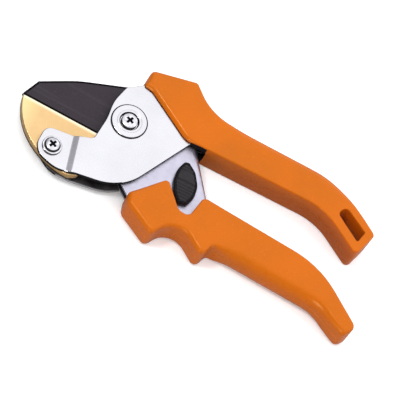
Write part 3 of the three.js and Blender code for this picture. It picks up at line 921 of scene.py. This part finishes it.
def anvil_screw():
    """A pan head with a flat flange and a domed crown."""
    top = ANVIL_SCREW_TOP
    seat = top - 2.75
    profile = [
        (0, ANVIL_NUT[0] - 0.3), (1.7, ANVIL_NUT[0] - 0.3), (2, ANVIL_NUT[0]), (2, seat),
        (5.1, seat), (5.2, seat + 0.1), (5.2, seat + 0.6),
        *arc_profile((4.7, seat + 0.6), 0.5, 10, 80, 4),
        (4.3, seat + 1.05), (4.15, seat + 0.85), (3.85, seat + 0.85), (3.75, seat + 1.6),
        (3.5, seat + 2.1), (3.0, seat + 2.4), (2.2, seat + 2.62), (1.2, seat + 2.72), (0, top),
    ]
    head = turned("anvil_screw_bright", profile, ANVIL_SCREW)
    cross_head(head, "anvil_screw", ANVIL_SCREW, 1.7, top)


def pivot_disc():
    """A flush disc: a crisp outer step, one turned ring and the dish for the screw."""
    face = PLATE_FACE
    low = face - PLATE + 0.05
    floor = face - 0.9
    rim = PIVOT_DISC_RADIUS
    profile = [
        (2.7, low), (5.9, low), (5.9, face + 0.05), (rim, face + 0.05), (rim, face + 0.3),
        (rim - 0.1, face + 0.34), (rim - 0.5, face + 0.34),
        *arc_profile((rim - 0.85, face + 0.45), 0.3, 15, 90, 4),
        (6.7, face + 0.75), (6.6, face + 0.68), (6.45, face + 0.62), (6.3, face + 0.68),
        (6.2, face + 0.75), (5.5, face + 0.75),
        *arc_profile((5.5, face + 0.45), 0.3, 90, 180, 4)[1:],
        (4.95, floor + 0.3), (4.7, floor), (2.7, floor), (2.7, low),
    ]
    disc = turned("pivot_disc_plated", profile[:-1])
    finish(disc, PLATED, "anvil_frame", ["pivot_disc"])

    # Painted shade in the dish round the screw and in the groove by the rim.
    def dark(place, normal):
        away = math.hypot(place.x, place.y)
        in_dish = 4.5 < away < 5.4 and place.z < face + 0.5
        return in_dish or (away > rim - 0.7 and place.z < face + 0.4)

    repaint(disc, PAINTED_SHADE, dark)


def pivot_screw():
    """A pan head with a rounded shoulder, which stands up out of the disc's dish."""
    top = PIVOT_SCREW_TOP
    dish = PLATE_FACE - 0.85
    tail = PIVOT_SCREW_BOTTOM
    profile = [
        (0, tail), (2.3, tail), (2.5, tail + 0.2), (2.5, dish), (4.2, dish), (4.3, dish + 0.1),
        (4.3, dish + 1.5), *arc_profile((3.6, dish + 1.6), 0.7, 0, 75, 5),
        (3.2, dish + 2.45), (2.4, dish + 2.7), (1.2, dish + 2.86), (0, top),
    ]
    head = turned("pivot_screw_bright", profile)
    cross_head(head, "pivot_screw", PIVOT, 1.5, top)


def hex_nut(name, node, centre, across_flats, low, high, bore):
    """A chamfered nut. Its corners are cut back by a cone at both faces."""
    count = TURNED_SIDES
    apothem = across_flats / 2
    turn = np.arange(count) * 2 * math.pi / count
    radius = apothem / np.cos((turn + math.pi / 6) % (math.pi / 3) - math.pi / 6)
    flat = apothem * 0.94
    cut = (radius - flat) * math.tan(math.radians(28))
    ray = np.stack([np.cos(turn), np.sin(turn)], axis=1)

    def ring_at(radii, z):
        flat_points = np.array(centre) + ray * np.reshape(radii, (-1, 1))
        return np.column_stack([flat_points, np.broadcast_to(z, count)])

    cone = np.full(count, flat)
    inner = np.full(count, bore)
    rings = [
        ring_at(cone, low), ring_at(radius, low + cut), ring_at(radius, high - cut),
        ring_at(cone, high), ring_at(inner + 0.35, high), ring_at(inner, high - 0.35),
        ring_at(inner, low + 0.7), ring_at(inner * 0.2, low + 0.7),
    ]
    points = np.concatenate(rings)
    faces = []
    last = (len(rings) - 1) * count
    for start in range(0, last, count):
        for k in range(count):
            n = (k + 1) % count
            faces.append((start + k, start + n, start + count + n, start + count + k))
    faces.append(tuple(last + k for k in range(count)))
    faces.append(tuple(range(count))[::-1])
    nut = mesh_object(name, points, faces)
    finish(nut, SCREW, "anvil_frame", [node])


def pivot_washer():
    """A bevelled washer under the pivot nut."""
    low, high = WASHER
    profile = [
        (2.6, low), (7.2, low), (7.5, low + 0.15), (7.5, high - 0.1), (7.4, high), (2.6, high),
    ]
    washer = turned("pivot_washer_bright", profile)
    finish(washer, SCREW, "anvil_frame", ["pivot_washer_back"])


# -------------------- lever


def blade():
    """The blade, ground on both sides of its edge, with a black band of painted shade round its
    outline.
    """
    half = (BLADE_FRONT - BLADE_BACK) / 2
    rivets = [circle(place, RIVET_BORE, 32) for place in BLADE_RIVETS]
    holes = [circle(PIVOT, BUSH_BORE), *rivets]
    x = np.arange(-54, -9, 0.9)
    bevel_row = np.stack([x, np.full(len(x), EDGE_Y + EDGE_BEVEL)], axis=1)
    section = Section(
        round_corners(BLADE), holes, even_rim(SHADED_EDGE_BAND, 0.2), spacing=1.5, fill=2.5, rings=4,
        extra=[bevel_row],
    )
    x, y = section.points.T
    ground = np.clip((EDGE_Y + EDGE_BEVEL - y) / EDGE_BEVEL, 0, 1) * (x < -7)
    drop = np.maximum(section.drop(), ground * (half - EDGE_LAND / 2))
    points, faces = section.solid(BLADE_FRONT - drop, BLADE_BACK + drop)
    piece = mesh_object("blade_coated", points, faces)
    finish(piece, COATING, "blade_lever", ["blade"])
    outline = [round_corners(BLADE)]

    def in_shaded_band(place, normal):
        return distance_inside(np.array([place[:2]]), outline)[0] < SHADED_EDGE_BAND

    # Painted shade: a black band along the blade's outline.
    repaint(piece, COATING_SHADED_EDGE, in_shaded_band)


def channel_rim(points, normals):
    """A full bend along the folded spine, and a sheared edge elsewhere."""
    x, y = points.T
    spine = smooth_step(0.5, 0.85, normals @ np.array([0.82, 0.57])) * (x > 34)
    return 0.2 + 2.9 * spine, 0.2 + 1.7 * spine


def channel():
    """The folded lever: two walls joined along the spine, with a slot for the catch's stem."""
    section = Section(round_corners(CHANNEL), rim=channel_rim, spacing=1.5, fill=3, rings=5)
    drop = section.drop()
    points, faces = section.solid(CHANNEL_FRONT - drop, CHANNEL_BACK + drop)
    piece = mesh_object("lever_channel_pressed", points, faces)
    inner = MIDDLE - CHANNEL_BACK - CHANNEL_WALL
    hollow = slab(round_corners(CHANNEL_HOLLOW), MIDDLE - inner, MIDDLE + inner)
    corners = [(-2, -5, 0.8), (2, -5, 0.8), (2, 5, 0.8), (-2, 5, 0.8)]
    slot = slab(round_corners(place_catch(corners)), MIDDLE, CHANNEL_FRONT + 1)
    holes = [circle(PIVOT, BUSH_BORE), *(circle(p, RIVET_BORE, 32) for p in BLADE_RIVETS)]
    bores = [slab(hole, CHANNEL_BACK - 1, CHANNEL_FRONT + 1) for hole in holes]
    carve(piece, hollow, slot, *bores)
    finish(piece, SATIN, "blade_lever", ["lever_channel"])

    def facing_the_middle(place, normal):
        height = place.z - MIDDLE
        return abs(height) < inner + 0.05 and normal.z * height < -0.01

    # Painted shade: the walls' faces towards the middle are painted dark.
    repaint(piece, STEEL_IN_SHADE, facing_the_middle)


# -------------------- catch


def place_catch(corners):
    """Corners along the catch's own axes, moved to where it lies on the lever."""
    c, s = math.cos(CATCH_TURN), math.sin(CATCH_TURN)
    return [
        (CATCH_CENTRE[0] + c * x - s * y, CATCH_CENTRE[1] + s * x + c * y, radius)
        for x, y, radius in corners
    ]


def thumb_catch():
    """A leaf with a rim all round, ribs across it and one deep step in the middle."""
    base = CHANNEL_FRONT + 0.15
    section = Section(
        round_corners(CATCH_LEAF), rim=even_rim(1.0, 1.3), spacing=0.5, fill=0.36, rings=5
    )
    x, y = section.points.T
    drop = section.drop()
    across = y + 0.28 * x
    ribs = (0.5 + 0.5 * np.cos(2 * math.pi * across / 1.75)) ** 2
    step = np.exp(-((across - 0.9) / 0.35) ** 2)
    smooth_part = smooth_step(0.9, 1.4, across) * (1 - smooth_step(5.5, 6.5, across))
    inside = smooth_step(1.0, 1.5, section.depth)
    crown = 0.35 * (1 - np.clip(section.depth / 5, 0, 1)) ** 2
    sunk = inside * (0.45 * ribs * (1 - 0.8 * smooth_part) + 0.6 * step)
    front = CATCH_TOP - drop - crown - sunk
    points, faces = section.solid(front, np.full(len(x), base))
    c, s = math.cos(CATCH_TURN), math.sin(CATCH_TURN)
    points[:, :2] = points[:, :2] @ np.array([[c, s], [-s, c]]) + np.array(CATCH_CENTRE)
    button = mesh_object("thumb_catch_button", points, faces)
    corners = [(-1.7, -2.7, 0.5), (1.7, -2.7, 0.5), (1.7, 2.7, 0.5), (-1.7, 2.7, 0.5)]
    stem = slab(round_corners(place_catch(corners)), CATCH_FOOT, base + 0.5)
    carve(button, stem, operation="UNION")
    finish(button, BLACK, "catch", ["thumb_catch", "catch_rivet"])
    outline = [round_corners(place_catch(CATCH_LEAF))]

    def at_the_rim(place, normal):
        return normal.z > 0.4 and distance_inside(np.array([place[:2]]), outline)[0] < 1.6

    # Painted shade: a near-black border round the catch's rim.
    repaint(button, PAINTED_SHADE, at_the_rim)


# -------------------- spring and hidden pieces


def opening_spring():
    """The torsion spring's wire as a round tube along its real path."""
    coil_centre = np.array([17.0, 24.5])
    radius = 4.0
    first, last = math.radians(38.7), math.radians(987.3)
    low, pitch = 6.9, 1.7
    route = [(34.5, 9, MIDDLE), (31.2, 13.2, 8.5), (27.3, 18, 7.9)]
    for angle in np.linspace(first, last, 100):
        x, y = coil_centre + radius * np.array([math.cos(angle), math.sin(angle)])
        route.append((x, y, low + pitch * (angle - first) / (2 * math.pi)))
    route += [(26.4, 20.1, 11.4), (31, 19.8, 11.4), (36, 19.6, 11.4)]
    curve = bpy.data.curves.new("opening_spring_wire", "CURVE")
    curve.dimensions = "3D"
    curve.bevel_depth = 0.8 * MM
    curve.bevel_resolution = 4
    curve.use_fill_caps = True
    spline = curve.splines.new("NURBS")
    spline.points.add(len(route) - 1)
    for made, place in zip(spline.points, route):
        made.co = (*(MM * v for v in place), 1)
    spline.order_u = 3
    spline.use_endpoint_u = True
    source = bpy.data.objects.new("source", curve)
    bpy.context.scene.collection.objects.link(source)
    bpy.context.view_layer.update()
    evaluated = source.evaluated_get(bpy.context.evaluated_depsgraph_get())
    mesh = bpy.data.meshes.new_from_object(evaluated)
    wire = bpy.data.objects.new("opening_spring_wire", mesh)
    bpy.context.scene.collection.objects.link(wire)
    bpy.data.objects.remove(source)
    finish(wire, SPRING, "anvil_frame", ["opening_spring"])


def dress_cad_nodes():
    """Pieces that stay as the CAD has them get their finish here."""
    hidden = [
        "pivot_bush", "pivot_shim_front", "pivot_shim_back", "frame_spacer_1", "frame_spacer_2",
        "spring_post", "blade_rivet_1", "blade_rivet_2", "catch_bar",
    ]
    for name in hidden:
        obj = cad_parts[name]
        obj.data.materials.clear()
        obj.data.materials.append(INNER)


# -------------------- studio


def camera():
    """Looks at the front face from beyond the anvil's side, through a long lens."""
    data = bpy.data.cameras.new("camera")
    data.lens = LENS
    data.sensor_width = SENSOR
    data.clip_end = 20
    obj = bpy.data.objects.new("camera", data)
    bpy.context.scene.collection.objects.link(obj)
    turned_to = Matrix.Rotation(-VIEW_TURN, 4, "Z") @ Matrix.Rotation(VIEW_TILT, 4, "X")
    turned_to = turned_to @ Matrix.Rotation(VIEW_ROLL, 4, "Z")
    away = turned_to @ Vector((0, 0, VIEW_WIDTH * LENS / SENSOR))
    obj.matrix_world = Matrix.Translation(VIEW_CENTRE + away) @ turned_to
    bpy.context.scene.camera = obj


def area_light(name, direction, distance, size, power, colour=(1, 1, 1)):
    """A round lamp that shines on the pruner from the given direction, in metres and watts."""
    data = bpy.data.lights.new(name, "AREA")
    data.shape = "DISK"
    data.size = size
    data.energy = power
    data.color = colour
    obj = bpy.data.objects.new(name, data)
    bpy.context.scene.collection.objects.link(obj)
    towards = Vector(direction).normalized()
    obj.location = VIEW_CENTRE + towards * distance
    obj.rotation_euler = towards.to_track_quat("Z", "Y").to_euler()


def studio_walls():
    """A dim room that is bright overhead and towards the blade's side."""
    world = bpy.data.worlds.new("studio")
    world.use_nodes = True
    tree = world.node_tree
    background = tree.nodes["Background"]
    background.inputs["Color"].default_value = (0.97, 0.975, 1.0, 1)
    coordinates = tree.nodes.new("ShaderNodeTexCoord")
    facing = tree.nodes.new("ShaderNodeVectorMath")
    facing.operation = "DOT_PRODUCT"
    facing.inputs[1].default_value = Vector((0.42, 0.38, 0.82)).normalized()
    brightness = tree.nodes.new("ShaderNodeMapRange")
    brightness.interpolation_type = "SMOOTHSTEP"
    brightness.inputs["From Min"].default_value = -0.2
    brightness.inputs["From Max"].default_value = 0.85
    brightness.inputs["To Min"].default_value = 0.14
    brightness.inputs["To Max"].default_value = 1.75
    tree.links.new(coordinates.outputs["Generated"], facing.inputs[0])
    tree.links.new(facing.outputs["Value"], brightness.inputs["Value"])
    tree.links.new(brightness.outputs["Result"], background.inputs["Strength"])
    return world


def studio():
    scene = bpy.context.scene
    scene.view_settings.view_transform = "Standard"
    scene.world = studio_walls()
    area_light("edge_strip", (-0.44, -0.19, 0.87), 1.6, 0.3, 7.0)
    area_light("low_fill", (-0.3, -0.95, 0.13), 1.4, 0.5, 8.0, (1.0, 0.93, 0.84))
    corners = [(-1, -1), (1, -1), (1, 1), (-1, 1)]
    reach = FLOOR_REACH / MM
    points = [(x * reach, y * reach, GRIP_BACK - 0.2) for x, y in corners]
    floor = mesh_object("floor", points, [(0, 1, 2, 3)])
    floor.data.materials.append(pale_floor())


# -------------------- everything

camera()
studio()
upper_grip()
lower_grip()
frame_plate("front_plate_plated", FRONT_NOSE, 1)
frame_plate("back_plate_plated", BACK_NOSE, -1)
anvil()
anvil_screw()
pivot_disc()
pivot_screw()
pivot_washer()
hex_nut("pivot_nut_bright", "pivot_nut", PIVOT, 11, *PIVOT_NUT, 2.55)
hex_nut("anvil_nut_bright", "anvil_nut", ANVIL_SCREW, 7, *ANVIL_NUT, ANVIL_SCREW_BORE)
blade()
channel()
thumb_catch()
opening_spring()
dress_cad_nodes()
